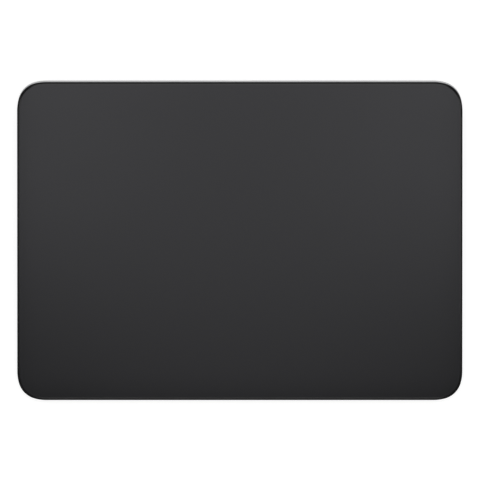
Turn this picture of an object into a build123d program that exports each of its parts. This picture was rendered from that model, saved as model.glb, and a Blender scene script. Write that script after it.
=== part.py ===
from build123d import *

import os
from math import atan2, cos, degrees, radians, sin, sqrt, tan

# A wireless desktop trackpad, in millimetres. X runs to the right, Y to the rear, Z up from the
# desk. The origin is on the desk plane at the centre of the footprint.

# The whole object.
width = 160.0
depth = 114.9
front_height = 4.9
rear_height = 10.9
foot_stand = 0.6
rear_lip = 0.55

# Eased corners in plan: a gentle arc, a tight arc and a gentle arc, tangent to one another.
corner_ease_angle = 15.0
corner_ease_radius = 16.0
corner_tight_radius = 8.1

# Aluminium housing.
wall = 1.4
floor = 0.9
under_edge_radius = 1.2
rear_roll_radius = 5.0
overrun = 1.0

# The glass and the boards bonded under it, measured square to the glass.
glass_thickness = 1.0
glass_edge_round = 0.3
film_thickness = 0.1
film_setback = 1.7
sensor_thickness = 0.6
plate_thickness = 0.6
plate_setback = 2.0
rim_clearance = 0.15

# Force beams at the four corners.
beam_width = 9.0
beam_thickness = 0.5
beam_inset_x = 18.0
beam_inset_y = 19.2
beam_end_length = 6.0
beam_pad_length = 8.0
beam_web_length = 3.0
beam_web_width = 4.4
beam_notch_radius = 0.8
gel_thickness = 0.4
gel_margin = 0.8
gauge_length = 1.8
gauge_width = 3.0
gauge_thickness = 0.08
press_travel = 0.2
shift_travel = 0.15

# Screws of one kind hold the beams, another kind the boards and the haptic bracket.
beam_screw_head_radius = 1.3
beam_screw_head_height = 0.4
beam_screw_shank_radius = 0.7
beam_screw_grip = 1.2
board_screw_head_radius = 1.3
board_screw_head_height = 0.6
board_screw_shank_radius = 0.7
board_screw_grip = 1.3
screw_socket_radius = 0.5
screw_socket_depth = 0.25
screw_bore_clearance = 0.05
screw_tip_clearance = 0.2
screw_hole_clearance = 0.15
relief_clearance = 0.5
boss_wall = 1.1

# Small screws, with their holes and posts, have flat sides: heads and posts, then shanks and bores.
head_sides = 12
shank_sides = 8

# Rubber feet.
foot_radius = 4.75
foot_recess = 0.3
foot_clearance = 0.1
foot_edge_bevel = 0.25
foot_inset_x = 16.0
foot_inset_front = 11.0
foot_roll_gap = 1.8

# Logic board.
board_switch_gap = 2.0
board_depth = 16.0
board_thickness = 0.8
board_lift = 1.0
board_wall_gap = 0.8
board_corner_radius = 1.0
board_screw_inset = 2.6
shield_length = 13.0
shield_depth = 9.0
shield_height = 1.4
shield_sheet = 0.2
shield_corner_radius = 0.8
shield_port_gap = 3.5
chip_length = 10.0
chip_height = 0.8
chip_margin = 1.2
radio_length = 7.0
radio_depth = 7.0
radio_height = 1.3
radio_end_gap = 1.0
charger_length = 4.0
charger_height = 0.75
charger_port_gap = 3.2
capacitor_length = 1.6
capacitor_depth = 0.8
capacitor_height = 0.8
capacitor_pitch = 2.4
capacitor_count = 5
capacitor_charger_gap = 3.6
connector_depth = 3.0
connector_height = 1.0
connector_edge_gap = 1.2
connector_chip_gap = 0.7

# Charging port: a standard 24-contact receptacle.
port_inner_width = 8.34
port_inner_height = 2.56
port_shell_wall = 0.3
port_length = 7.3
port_mouth_gap = 0.75
port_back_length = 2.4
port_tongue_width = 6.69
port_tongue_thickness = 0.7
port_tongue_gap = 0.75
port_clearance = 0.1
port_mouth_chamfer = 0.3
contact_pitch = 0.5
contact_width = 0.25
contact_length = 3.0
contact_thickness = 0.05
contact_tip_gap = 0.4
contacts_a_side = 12

# Power switch on the rear wall.
switch_inset = 28.0
knob_length = 4.2
knob_height = 2.0
knob_thickness = 0.45
knob_edge_bevel = 0.12
knob_grip_depth = 0.12
knob_grip_width = 0.3
knob_grip_pitch = 0.8
switch_travel = 2.4
switch_clearance = 0.3
switch_skin = 0.6
surround_thickness = 0.3
surround_clearance = 0.05
surround_knob_gap = 0.05
mark_depth = 0.1
stem_length = 1.8
stem_height = 0.8
stem_clearance = 0.15
wiper_length = 3.0
wiper_height = 1.4
wiper_depth = 1.8
case_wall = 0.4
case_clearance = 0.12
case_wall_gap = 0.1
switch_board_length = 12.0
switch_board_depth = 9.0
switch_board_corner_radius = 0.8
switch_board_wall_gap = 0.3
switch_screw_stagger = 3.0

# Battery.
battery_depth = 41.0
battery_wall_gap = 2.0
battery_beam_gap = 1.5
battery_swell_gap = 0.45
battery_edge_bevel = 0.7
battery_corner_radius = 2.0
battery_fold_width = 1.2
battery_fold_height = 0.8
adhesive_thickness = 0.1
adhesive_width = 9.0
adhesive_inset = 4.0
guard_width = 3.2
guard_length = 30.0
guard_thickness = 1.2
guard_gap = 0.3
guard_bracket_gap = 5.8

# Haptic engine.
core_count = 3
core_pitch = 8.0
core_width = 7.2
core_length = 8.6
core_thickness = 1.2
core_yoke = 1.6
core_side_leg = 1.3
core_middle_leg = 2.4
core_tip_length = 1.2
coil_build = 0.6
coil_leg_clearance = 0.05
coil_corner_radius = 0.5
core_clearance = 0.2
armature_thickness = 2.0
armature_flange = 4.0
armature_sheet = 0.8
haptic_drop = 0.6
bracket_thickness = 0.6
bracket_coil_gap = 0.2
bracket_side_margin = 6.6
bracket_end_margin = 0.4
bracket_rail_width = 1.0
bracket_board_gap = 0.8
bracket_corner_radius = 1.5

# Openings in the stiffener for what hangs from the touch sensor board.
controller_length = 12.0
controller_depth = 8.0
controller_height = 1.1
controller_share = -0.5
window_clearance = 0.8
window_corner_radius = 1.0

# Flat cables and the antenna lead.
touch_cable_width = 12.0
touch_cable_share = 0.6
touch_cable_reach = 6.0
thin_cable_width = 2.6
cable_thickness = 0.12
cable_bend = 0.8
cable_tail = 5.0
cable_head = 2.0
cable_edge_gap = 0.3
lead_radius = 0.4
lead_bend = 2.4
lead_sides = 8
lead_seat = 1.0

# Antenna.
antenna_length = 18.0
antenna_width = 3.6
antenna_thickness = 1.6
antenna_foil = 0.1
antenna_foil_width = 0.8
antenna_glass_gap = 0.45
antenna_board_gap = 6.0
antenna_wall_gap = 0.7
antenna_post_radius = 1.4
antenna_notch_clearance = 0.8
antenna_post_share = 0.7

# Heights and slopes that follow from the sizes above.
tilt = atan2(rear_height - front_height, depth - rear_lip)
middle_y = -rear_lip / 2
middle_z = (front_height + rear_height) / 2
deck = Location((0, middle_y, middle_z), (degrees(tilt), 0, 0))
deck_half_x = width / 2
deck_half_v = (depth - rear_lip) / 2 / cos(tilt)
glass_under = -glass_thickness
film_under = glass_under - film_thickness
sensor_under = film_under - sensor_thickness
plate_under = sensor_under - plate_thickness
gel_under = plate_under - gel_thickness
beam_under = gel_under - beam_thickness
rim_level = glass_under - press_travel - rim_clearance
floor_top = foot_stand + floor
bulge_z = foot_stand + rear_roll_radius
rim_rear_z = rear_height + rim_level / cos(tilt)
upper_roll_radius = ((rim_rear_z - bulge_z) ** 2 + rear_lip**2) / (2 * rear_lip)
inner_roll_radius = rear_roll_radius - floor

# How the levels of the lofted sections are spread, as shares of each stretch.
turn_shares = (0, 1 / 6, 2 / 6, 3 / 6, 4 / 6, 5 / 6, 1)
stretch_shares = (0.05, 0.15, 0.3, 0.55, 0.8, 1)
upper_shares = (0.25, 0.5, 0.75, 1)
pocket_shares = (0.5, 1)


# Shapes that several pieces use

def plan_face(half_x, front, rear, inset=0.0):
    """The eased outline in plan, drawn in from the outside by the inset."""
    gentle = corner_ease_radius - inset
    tight = corner_tight_radius - inset
    turn = radians(corner_ease_angle)
    leg = gentle * (1 - cos(turn) + sin(turn)) + tight * (cos(turn) - sin(turn))
    corners = [Vector(-half_x, front), Vector(half_x, front), Vector(half_x, rear), Vector(-half_x, rear)]
    steps = ((gentle, corner_ease_angle), (tight, 90 - 2 * corner_ease_angle), (gentle, corner_ease_angle))
    outline = []
    for here, there in zip(corners, corners[1:] + corners[:1]):
        along = (there - here).normalized()
        outline.append(Line(here + along * leg, there - along * leg))
        for radius, degrees_turned in steps:
            outline.append(JernArc(outline[-1] @ 1, outline[-1] % 1, radius, degrees_turned))
    return make_face(outline)


def block(size_x, size_y, bottom, top, x=0.0, y=0.0):
    """A box between two levels, centred at x, y."""
    return Pos(x, y, (bottom + top) / 2) * Box(size_x, size_y, top - bottom)


def rounded_block(size_x, size_y, bottom, top, corner, x=0.0, y=0.0):
    """A box between two levels with its upright edges rounded."""
    return extrude(Pos(x, y, bottom) * RectangleRounded(size_x, size_y, corner), top - bottom)


def disc(radius, bottom, top, x=0.0, y=0.0):
    """An upright cylinder between two levels."""
    return Pos(x, y, (bottom + top) / 2) * Cylinder(radius, top - bottom)


def prism(sides, radius, bottom, top, x=0.0, y=0.0):
    """An upright prism with equal flat sides, between two levels."""
    return extrude(Pos(x, y, bottom) * RegularPolygon(radius, sides), top - bottom)


def pill(length, height, front, rear, x, z):
    """A bar with round ends, lying through the rear wall from front to rear."""
    face = Plane(origin=(x, front, z), x_dir=(1, 0, 0), z_dir=(0, 1, 0)) * SlotOverall(length, height)
    return extrude(face, rear - front)


def ribbon(points, bend, size, across):
    """A flat cable that follows straight runs joined by arcs."""
    path = FilletPolyline(*points, radius=bend)
    start = Plane(origin=path @ 0, x_dir=across, z_dir=path % 0)
    return sweep(start * Rectangle(size, cable_thickness), path=path)


def screw(head_radius, head_height, shank_radius, shank_length):
    """A pan-head screw standing on z = 0, with a hexagon socket."""
    head = prism(head_sides, head_radius, 0, head_height)
    shank = prism(shank_sides, shank_radius, -shank_length, 0)
    socket = extrude(Pos(0, 0, head_height) * RegularPolygon(screw_socket_radius, 6), -screw_socket_depth)
    return head + shank - socket


def glass_height(y):
    """Height of the glass top above the desk at a distance to the rear."""
    return middle_z + tan(tilt) * (y - middle_y)


def deck_height(y, level):
    """Height of a level square to the glass, at a distance to the rear."""
    return glass_height(y) + level / cos(tilt)


def deck_place(y):
    """Distance along the sloping glass of a distance to the rear."""
    return (y - middle_y) / cos(tilt)


def rear_set_in(height):
    """How far the rear face stands in from its furthest point, at a height above the underside."""
    if height < rear_roll_radius:
        return rear_roll_radius - sqrt(rear_roll_radius**2 - (rear_roll_radius - height) ** 2)
    return upper_roll_radius - sqrt(upper_roll_radius**2 - (height - rear_roll_radius) ** 2)


def side_set_in(height):
    """How far the front and side faces stand in at a height above the underside."""
    if height > under_edge_radius:
        return 0.0
    return under_edge_radius - sqrt(under_edge_radius**2 - (under_edge_radius - height) ** 2)


def cavity_rear(z):
    """The inner face of the rear wall at a height above the desk."""
    inner = depth / 2 - wall
    if z > bulge_z:
        return inner - rear_set_in(z - foot_stand)
    below = bulge_z - z
    return inner - inner_roll_radius + sqrt(max(inner_roll_radius**2 - below**2, 0))


# Places that several pieces share

beam_length = 2 * (beam_end_length + beam_web_length) + beam_pad_length
beam_x = width / 2 - beam_inset_x
beam_v = deck_half_v - beam_inset_y
beam_screw_x = (beam_length - beam_end_length) / 2
beam_centres = [(x, v) for x in (-beam_x, beam_x) for v in (-beam_v, beam_v)]
beam_screw_spots = [(x + side * beam_screw_x, v) for x, v in beam_centres for side in (-1, 1)]

switch_x = width / 2 - switch_inset
board_length = 2 * (switch_x - switch_board_length / 2 - board_switch_gap)
board_under = floor_top + board_lift
board_top = board_under + board_thickness
board_rear = cavity_rear(board_under) - board_wall_gap
board_y = board_rear - board_depth / 2
board_front = board_rear - board_depth
board_screw_spots = [
    (x * (board_length / 2 - board_screw_inset), board_y + y * (board_depth / 2 - board_screw_inset))
    for x in (-1, 1)
    for y in (-1, 1)
]
boss_radius = board_screw_shank_radius + screw_bore_clearance + boss_wall

port_z = board_top + port_inner_height / 2 + port_shell_wall
port_mouth = depth / 2 - port_mouth_gap
port_rear = port_mouth - port_length
port_outer_width = port_inner_width + 2 * port_shell_wall
port_outer_height = port_inner_height + 2 * port_shell_wall

wiper_room = wiper_height + 2 * case_clearance
case_height = wiper_room + 2 * case_wall
switch_board_lift = board_lift + (port_outer_height - case_height) / 2
switch_board_under = floor_top + switch_board_lift
switch_board_top = switch_board_under + board_thickness
switch_board_rear = cavity_rear(switch_board_under) - switch_board_wall_gap
switch_board_y = switch_board_rear - switch_board_depth / 2
switch_z = switch_board_top + case_height / 2
switch_inner_face = cavity_rear(switch_z)
recess_floor = switch_inner_face + switch_skin
recess_length = knob_length + switch_travel + 2 * switch_clearance
recess_height = knob_height + 2 * switch_clearance
slot_length = stem_length + switch_travel + 2 * stem_clearance
slot_height = stem_height + 2 * stem_clearance
knob_x = switch_x + switch_travel / 2
knob_front = recess_floor + surround_thickness + surround_knob_gap
case_rear = cavity_rear(switch_board_top) - case_wall_gap
switch_screw_x = switch_board_length / 2 - board_screw_inset
switch_screw_y = switch_board_y - switch_board_depth / 2 + board_screw_inset
switch_screw_spots = [
    (switch_x + switch_screw_x, switch_screw_y),
    (switch_x - switch_screw_x, switch_screw_y + switch_screw_stagger),
]

air_gap = shift_travel + core_clearance
core_room = core_length + air_gap + armature_thickness
bracket_width = core_room + 2 * bracket_side_margin
guard_x = bracket_width / 2 + guard_bracket_gap + guard_width / 2
battery_inner = guard_x + guard_width / 2 + guard_gap + battery_fold_width
battery_length = width / 2 - wall - battery_wall_gap - battery_inner
battery_x = battery_inner + battery_length / 2
battery_rear = middle_y + (beam_v - beam_width / 2) * cos(tilt) - battery_beam_gap
battery_front = battery_rear - battery_depth
battery_y = (battery_rear + battery_front) / 2
battery_bottom = floor_top + adhesive_thickness
battery_top = deck_height(battery_front, plate_under) - battery_swell_gap
guard_y = battery_rear - guard_length / 2

coil_height = core_thickness + 2 * (coil_build + coil_leg_clearance)
coil_top = plate_under - haptic_drop
coil_under = coil_top - coil_height
core_top = coil_top - coil_build - coil_leg_clearance
core_under = core_top - core_thickness
bracket_top = coil_under - bracket_coil_gap
bracket_under = bracket_top - bracket_thickness
haptic_length = core_count * core_pitch + 2 * bracket_end_margin
haptic_y = board_front - bracket_board_gap - haptic_length / 2
haptic_v = deck_place(haptic_y)
core_back_x = -core_room / 2
core_face_x = core_back_x + core_length
haptic_screw_x = bracket_width / 2 - boss_radius - bracket_end_margin
haptic_screw_v = haptic_length / 2 - boss_radius
haptic_screw_spots = [(x * haptic_screw_x, haptic_v + v * haptic_screw_v) for x in (-1, 1) for v in (-1, 1)]

antenna_x = -(board_length / 2 + antenna_board_gap + antenna_length / 2)
antenna_level = glass_under - film_thickness - antenna_glass_gap
antenna_under = antenna_level - antenna_thickness
antenna_rear = cavity_rear(deck_height(depth / 2 - wall, antenna_level)) - antenna_wall_gap
antenna_v = deck_place(antenna_rear) - antenna_width / 2

board_window_v = deck_place(board_y)
window_depth = controller_depth + 2 * window_clearance
touch_cable_x = touch_cable_share * board_length / 2
controller_x = controller_share * board_length / 2
connector_top = board_top + connector_height
connector_y = board_front + connector_edge_gap + connector_depth / 2
chips_y = connector_y + connector_depth / 2 + connector_chip_gap + shield_depth / 2
shield_x = -(port_outer_width / 2 + shield_port_gap + shield_length / 2)
radio_x = radio_end_gap + (radio_length - board_length) / 2
charger_x = port_outer_width / 2 + charger_port_gap + charger_length / 2
capacitor_x = charger_x + charger_length / 2 + capacitor_charger_gap


# Aluminium housing

def housing_outside():
    """The wedge's outer form before it is hollowed: sections from the underside up."""
    stretch = rear_roll_radius - under_edge_radius
    above = rear_height - bulge_z
    heights = [under_edge_radius * (1 - cos(radians(90 * share))) for share in turn_shares]
    heights += [under_edge_radius + stretch * share for share in stretch_shares]
    heights += [rear_roll_radius + above * share for share in upper_shares]
    sections = []
    for height in heights:
        side = side_set_in(height)
        rear = rear_set_in(height)
        section = plan_face(width / 2 - side, side - depth / 2, depth / 2 - rear, side)
        sections.append(Pos(0, 0, foot_stand + height) * section)
    return loft(sections, ruled=True)


def housing_cavity():
    """The milled pocket, with its rear lower edge rounded like the outside."""
    above = rear_height + overrun - bulge_z
    levels = [floor_top + inner_roll_radius * (1 - cos(radians(90 * share))) for share in turn_shares]
    levels += [bulge_z + above * share for share in pocket_shares]
    sections = []
    for level in levels:
        section = plan_face(width / 2 - wall, wall - depth / 2, cavity_rear(level), wall)
        sections.append(Pos(0, 0, level) * section)
    return loft(sections, ruled=True)


def housing_pedestals():
    """Everything that stands on the floor of the pocket to carry a piece."""
    standing_height = rear_height - foot_stand
    pedestals = [
        deck * block(beam_end_length, beam_width, beam_under - standing_height, beam_under, x, v)
        for x, v in beam_screw_spots
    ]
    pedestals += [
        deck * prism(head_sides, boss_radius, bracket_under - standing_height, bracket_under, x, v)
        for x, v in haptic_screw_spots
    ]
    pedestals += [
        deck * prism(
            head_sides, antenna_post_radius, antenna_under - standing_height, antenna_under, x, antenna_v
        )
        for x in antenna_post_places()
    ]
    for under, spots in ((board_under, board_screw_spots), (switch_board_under, switch_screw_spots)):
        pedestals += [prism(head_sides, boss_radius, foot_stand, under, x, y) for x, y in spots]
    reach = foot_stand + floor / 2
    above_floor = block(width - wall, depth - wall, reach, rear_height)
    return [pedestal & above_floor for pedestal in pedestals]


def antenna_post_places():
    """Where along the antenna its two posts stand."""
    reach = antenna_length / 2 * antenna_post_share
    return (antenna_x - reach, antenna_x + reach)


def screw_bores():
    """Bores for the screws, a little deeper than their tips."""
    beam_bore = beam_screw_shank_radius + screw_bore_clearance
    board_bore = board_screw_shank_radius + screw_bore_clearance
    beam_depth = beam_under - beam_screw_grip - screw_tip_clearance
    bracket_depth = bracket_under - board_screw_grip - screw_tip_clearance
    bores = [
        deck * prism(shank_sides, beam_bore, beam_depth, beam_under, x, v) for x, v in beam_screw_spots
    ]
    bores += [
        deck * prism(shank_sides, board_bore, bracket_depth, bracket_under, x, v)
        for x, v in haptic_screw_spots
    ]
    for under, spots in ((board_under, board_screw_spots), (switch_board_under, switch_screw_spots)):
        depth_reached = under - board_screw_grip - screw_tip_clearance
        bores += [prism(shank_sides, board_bore, depth_reached, under, x, y) for x, y in spots]
    return bores


def port_cutout():
    """The port's opening through the rear wall, with a small chamfer at its mouth."""
    size_x = port_outer_width + 2 * port_clearance
    size_z = port_outer_height + 2 * port_clearance
    front = cavity_rear(port_z) - 2 * wall
    opening = pill(size_x, size_z, front, depth / 2 + overrun, 0, port_z)
    wide = size_x + 2 * port_mouth_chamfer
    high = size_z + 2 * port_mouth_chamfer
    mouth_plane = Plane(origin=(0, depth / 2, port_z), x_dir=(1, 0, 0), z_dir=(0, 1, 0))
    inner_plane = mouth_plane.offset(-2 * port_mouth_chamfer)
    mouth = loft([inner_plane * SlotOverall(size_x, size_z), mouth_plane * SlotOverall(wide, high)])
    return opening + mouth


def switch_cutouts():
    """The shallow recess that the knob slides in, and the slot for its stem."""
    recess = pill(recess_length, recess_height, recess_floor, depth / 2 + overrun, switch_x, switch_z)
    slot = pill(slot_length, slot_height, switch_inner_face - wall, depth / 2, switch_x, switch_z)
    return recess + slot


def foot_places():
    """The four feet, front pair first, at the flat part of the underside."""
    x = width / 2 - foot_inset_x
    front = foot_inset_front - depth / 2
    rear = depth / 2 - rear_roll_radius - foot_roll_gap - foot_radius
    sides = {"left": -x, "right": x}
    ends = {"front": front, "rear": rear}
    return {f"{end}_{side}": (sides[side], ends[end]) for end in ends for side in sides}


def housing():
    """The milled aluminium wedge."""
    shell = housing_outside() - housing_cavity()
    above_rim = deck * block(2 * width, 2 * depth, rim_level, rim_level + rear_height)
    shell -= above_rim
    for pedestal in housing_pedestals():
        shell += pedestal
    for bore in screw_bores():
        shell -= bore
    for x, y in foot_places().values():
        shell -= disc(foot_radius + foot_clearance, foot_stand - overrun, foot_stand + foot_recess, x, y)
    shell -= port_cutout()
    shell -= switch_cutouts()
    return shell


def foot(x, y):
    """A rubber foot in its shallow recess."""
    pad = disc(foot_radius, 0, foot_stand + foot_recess, x, y)
    return chamfer(pad.edges().group_by(Axis.Z)[0], foot_edge_bevel)


# The glass and what is bonded under it

def glass_surface():
    """The cover glass, flat, with its top edge eased."""
    sheet = extrude(plan_face(deck_half_x, -deck_half_v, deck_half_v), -glass_thickness)
    top_edges = sheet.faces().sort_by(Axis.Z)[-1].edges()
    return deck * fillet(top_edges, glass_edge_round)


def inset_sheet(setback, top, under):
    """A sheet under the glass, drawn in from its edge."""
    face = plan_face(deck_half_x - setback, setback - deck_half_v, deck_half_v - setback, setback)
    return extrude(Pos(0, 0, top) * face, under - top)


def antenna_notch(top):
    """Room beside the rear edge for the antenna to see through the glass alone."""
    length = antenna_length + 2 * antenna_notch_clearance
    notch_front = antenna_v - antenna_width / 2 - antenna_notch_clearance
    size = deck_half_v - notch_front
    return block(length, size, plate_under - overrun, top, antenna_x, notch_front + size / 2)


def bond_film():
    """The adhesive film between the glass and the touch sensor board."""
    return deck * inset_sheet(film_setback, glass_under, film_under)


def touch_sensor_board():
    """The board that senses the fingers, as large as the glass allows."""
    return deck * (inset_sheet(plate_setback, film_under, sensor_under) - antenna_notch(film_under))


def plate_windows():
    """Openings in the stiffener: touch controller, touch cable, and the beam screws' heads."""
    tall = plate_under - overrun
    sizes = ((controller_length, controller_x), (touch_cable_width, touch_cable_x))
    windows = [
        rounded_block(
            length + 2 * window_clearance, window_depth, tall, sensor_under, window_corner_radius,
            x, board_window_v,
        )
        for length, x in sizes
    ]
    radius = beam_screw_head_radius + relief_clearance
    windows += [prism(head_sides, radius, tall, sensor_under, x, v) for x, v in beam_screw_spots]
    return windows


def stiffener_plate():
    """The stiff sheet that spreads a press over the four beams."""
    plate = inset_sheet(plate_setback, sensor_under, plate_under) - antenna_notch(sensor_under)
    for window in plate_windows():
        plate -= window
    return deck * plate


def touch_controller():
    """The touch controller under its shield, in a window of the stiffener."""
    body = rounded_block(
        controller_length, controller_depth, sensor_under - controller_height, sensor_under,
        shield_corner_radius, controller_x, board_window_v,
    )
    return deck * body


def haptic_armature():
    """The steel angle that the cores pull sideways, fixed under the stiffener."""
    length = core_count * core_pitch
    leg_x = core_face_x + air_gap + armature_thickness / 2
    leg = block(armature_thickness, length, core_under, plate_under, leg_x, haptic_v)
    flange_x = core_face_x + air_gap + armature_flange / 2
    flange = block(armature_flange, length, plate_under - armature_sheet, plate_under, flange_x, haptic_v)
    return deck * (leg + flange)


# Force beams

def sensor_beam(x, v):
    """A spring-steel beam: screwed ends, thin webs and a middle pad."""
    beam = block(beam_length, beam_width, beam_under, gel_under, x, v)
    web_x = (beam_pad_length + beam_web_length) / 2
    notch_depth = (beam_width - beam_web_width) / 2
    for side in (-1, 1):
        for edge in (-1, 1):
            notch_v = v + edge * (beam_width / 2 + beam_notch_radius - notch_depth / 2)
            size_v = notch_depth + 2 * beam_notch_radius
            notch = rounded_block(
                beam_web_length, size_v, beam_under - overrun, gel_under + overrun, beam_notch_radius,
                x + side * web_x, notch_v,
            )
            beam -= notch
        hole = beam_screw_shank_radius + screw_hole_clearance
        beam -= prism(
            shank_sides, hole, beam_under - overrun, gel_under + overrun, x + side * beam_screw_x, v
        )
    return deck * beam


def strain_gauges():
    """Film gauges on the two webs of each beam."""
    web_x = (beam_pad_length + beam_web_length) / 2
    top = gel_under + gauge_thickness
    return [
        deck * block(gauge_length, gauge_width, gel_under, top, x + side * web_x, v)
        for x, v in beam_centres
        for side in (-1, 1)
    ]


def gel_pads():
    """Soft pads between each beam's middle and the stiffener."""
    size_x = beam_pad_length - 2 * gel_margin
    size_v = beam_width - 2 * gel_margin
    return [deck * block(size_x, size_v, gel_under, plate_under, x, v) for x, v in beam_centres]


def beam_screws():
    """Screws that hold the beams' ends to the pedestals."""
    length = beam_thickness + beam_screw_grip
    one = screw(beam_screw_head_radius, beam_screw_head_height, beam_screw_shank_radius, length)
    return [deck * Pos(x, v, gel_under) * one for x, v in beam_screw_spots]


# Logic board and what it carries

def drilled_board(length, board_size, under, x, y, corner, spots):
    """A circuit board with rounded corners and its screw holes."""
    board = rounded_block(length, board_size, under, under + board_thickness, corner, x, y)
    hole = board_screw_shank_radius + screw_hole_clearance
    for spot_x, spot_y in spots:
        board -= prism(
            shank_sides, hole, under - overrun, under + board_thickness + overrun, spot_x, spot_y
        )
    return board


def logic_board():
    """The main board, behind the haptic engine."""
    corner = board_corner_radius
    return drilled_board(board_length, board_depth, board_under, 0, board_y, corner, board_screw_spots)


def switch_board():
    """The small board that carries the power switch."""
    corner = switch_board_corner_radius
    return drilled_board(
        switch_board_length, switch_board_depth, switch_board_under, switch_x, switch_board_y, corner,
        switch_screw_spots,
    )


def board_screws():
    """Screws of the logic board and the switch board."""
    length = board_thickness + board_screw_grip
    one = screw(board_screw_head_radius, board_screw_head_height, board_screw_shank_radius, length)
    screws = [Pos(x, y, board_top) * one for x, y in board_screw_spots]
    return screws + [Pos(x, y, switch_board_top) * one for x, y in switch_screw_spots]


def processor_shield():
    """The tinned can over the processor."""
    top = board_top + shield_height
    can = rounded_block(shield_length, shield_depth, board_top, top, shield_corner_radius, shield_x, chips_y)
    inside = block(
        shield_length - 2 * shield_sheet, shield_depth - 2 * shield_sheet,
        board_top - overrun, top - shield_sheet, shield_x, chips_y,
    )
    return can - inside


def processor_chips():
    """The processor and its memory, in one row under the can."""
    long_chip = (chip_length - chip_margin) / 2
    size = shield_depth - 2 * shield_sheet - 2 * chip_margin
    offset = (long_chip + chip_margin) / 2
    top = board_top + chip_height
    return [block(long_chip, size, board_top, top, shield_x + side * offset, chips_y) for side in (-1, 1)]


def radio_module():
    """The radio module, a small canned block."""
    top = board_top + radio_height
    return rounded_block(radio_length, radio_depth, board_top, top, shield_corner_radius, radio_x, board_y)


def charger_chip():
    """The battery charger chip."""
    return block(charger_length, charger_length, board_top, board_top + charger_height, charger_x, board_y)


def board_capacitors():
    """A row of capacitors beside the charger."""
    top = board_top + capacitor_height
    places = [capacitor_x + number * capacitor_pitch for number in range(capacitor_count)]
    return [block(capacitor_depth, capacitor_length, board_top, top, x, board_y) for x in places]


def board_connectors():
    """Sockets for the two battery cables, the haptic cable and the touch cable."""
    small = thin_cable_width + cable_head
    places = [(side * guard_x, small) for side in (-1, 1)]
    places.append((haptic_cable_x(), small))
    sockets = [block(size, connector_depth, board_top, connector_top, x, connector_y) for x, size in places]
    wide = touch_cable_width + cable_head
    sockets.append(block(wide, connector_depth, board_top, connector_top, touch_cable_x, touch_socket_y()))
    return sockets


def touch_socket_y():
    """The touch cable's socket stands at the rear of the board."""
    return board_rear - connector_edge_gap - connector_depth / 2


def haptic_cable_x():
    """The haptic cable runs beside the backs of the cores."""
    return core_back_x - cable_edge_gap - thin_cable_width / 2


# Charging port

def port_shell():
    """The port's drawn steel shell, open at its mouth."""
    outer = pill(port_outer_width, port_outer_height, port_rear, port_mouth, 0, port_z)
    inner = pill(port_inner_width, port_inner_height, port_rear - overrun, port_mouth + overrun, 0, port_z)
    return outer - inner


def port_tongue():
    """The moulded back of the port with its tongue."""
    back_end = port_rear + port_back_length
    back = pill(port_inner_width, port_inner_height, port_rear, back_end, 0, port_z)
    tongue_end = port_mouth - port_tongue_gap
    length = tongue_end - back_end
    half = port_tongue_thickness / 2
    tongue = block(port_tongue_width, length, port_z - half, port_z + half, 0, back_end + length / 2)
    tip = tongue.edges().filter_by(Axis.X).group_by(Axis.Y)[-1]
    return back + chamfer(tip, port_tongue_thickness / 4)


def port_contacts():
    """Two rows of gold contacts, one on each face of the tongue."""
    rear_end = port_mouth - port_tongue_gap - contact_tip_gap
    y = rear_end - contact_length / 2
    half = port_tongue_thickness / 2
    contacts = []
    for number in range(contacts_a_side):
        x = (number - (contacts_a_side - 1) / 2) * contact_pitch
        top = port_z + half
        under = port_z - half
        contacts.append(block(contact_width, contact_length, top, top + contact_thickness, x, y))
        contacts.append(block(contact_width, contact_length, under - contact_thickness, under, x, y))
    return contacts


# Power switch

def switch_surround():
    """The moulded plate on the floor of the recess, with the slot for the stem."""
    length = recess_length - 2 * surround_clearance
    height = recess_height - 2 * surround_clearance
    rear = recess_floor + surround_thickness
    plate = pill(length, height, recess_floor, rear, switch_x, switch_z)
    plate -= pill(slot_length, slot_height, recess_floor - overrun, rear + overrun, switch_x, switch_z)
    return plate - on_mark_form()


def on_mark_form():
    """The coloured half of the surround that the knob uncovers when it is on."""
    length = recess_length - 2 * surround_clearance
    height = recess_height - 2 * surround_clearance
    rear = recess_floor + surround_thickness
    pad = pill(length, height, rear - mark_depth, rear, switch_x, switch_z)
    cut_x = knob_x - knob_length / 2
    low = switch_z - height
    half = block(length, overrun + depth, low, switch_z + height, cut_x - length / 2, depth / 2)
    return pad & half


def switch_on_mark():
    """The green mark, set flush in the surround and open where the slot runs."""
    through = pill(slot_length, slot_height, recess_floor, depth / 2, switch_x, switch_z)
    return on_mark_form() - through


def switch_knob():
    """The sliding knob with its stem through the wall."""
    rear = knob_front + knob_thickness
    knob = pill(knob_length, knob_height, knob_front, rear, knob_x, switch_z)
    knob = chamfer(knob.edges().group_by(Axis.Y)[-1], knob_edge_bevel)
    half_grip = knob_height / 3
    for step in (-1, 0, 1):
        grip_x = knob_x + step * knob_grip_pitch
        knob -= block(
            knob_grip_width, 2 * knob_grip_depth, switch_z - half_grip, switch_z + half_grip, grip_x, rear
        )
    stem_tip = case_rear - wiper_depth / 2
    return knob + pill(stem_length, stem_height, stem_tip, knob_front, knob_x, switch_z)


def switch_wiper():
    """The block inside the case that the stem carries along."""
    half = wiper_height / 2
    wiper_y = case_rear - wiper_depth / 2
    wiper = block(wiper_length, wiper_depth, switch_z - half, switch_z + half, knob_x, wiper_y)
    return wiper - pill(stem_length, stem_height, wiper_y, case_rear + overrun, knob_x, switch_z)


def switch_case():
    """The switch's case, a channel open towards the rear wall."""
    room = wiper_depth + case_clearance
    length = wiper_length + switch_travel + 2 * case_clearance
    size_y = room + case_wall
    case = block(
        length + 2 * case_wall, size_y, switch_board_top, switch_board_top + case_height,
        switch_x, case_rear - size_y / 2,
    )
    half = wiper_room / 2
    hollow = block(length, 2 * room, switch_z - half, switch_z + half, switch_x, case_rear)
    return case - hollow


# Battery

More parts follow.
